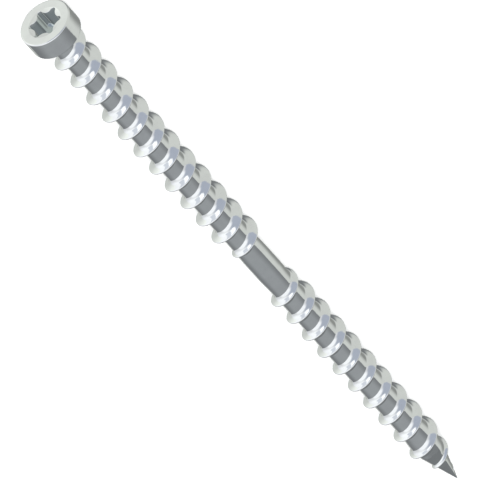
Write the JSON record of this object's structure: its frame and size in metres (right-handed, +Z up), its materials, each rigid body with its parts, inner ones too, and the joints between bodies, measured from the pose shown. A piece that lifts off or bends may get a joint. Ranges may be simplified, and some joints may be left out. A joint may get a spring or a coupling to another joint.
{
  "type": "structural timber screw",
  "caption": "Long structural timber screw with a cylinder head, six-lobe drive recess, and coarse threads under the head and at the point with a short bare shank between.",
  "frame": {"origin": "centre of the object's footprint, on the surface that it lies on", "axes": "+X along the screw from its drive face towards its point, +Z up. The screw lies as it comes to rest, on the rear edge of its head and one thread crest near the point, so its own axis dips 0.6 degrees towards the point."},
  "size_m": [0.15, 0.0104, 0.0104],
  "materials": {
    "zinc_steel": "bright zinc-plated carbon steel, smooth"
  },
  "bodies": {
    "root": {"screw": "zinc_steel"}
  },
  "joints": []
}
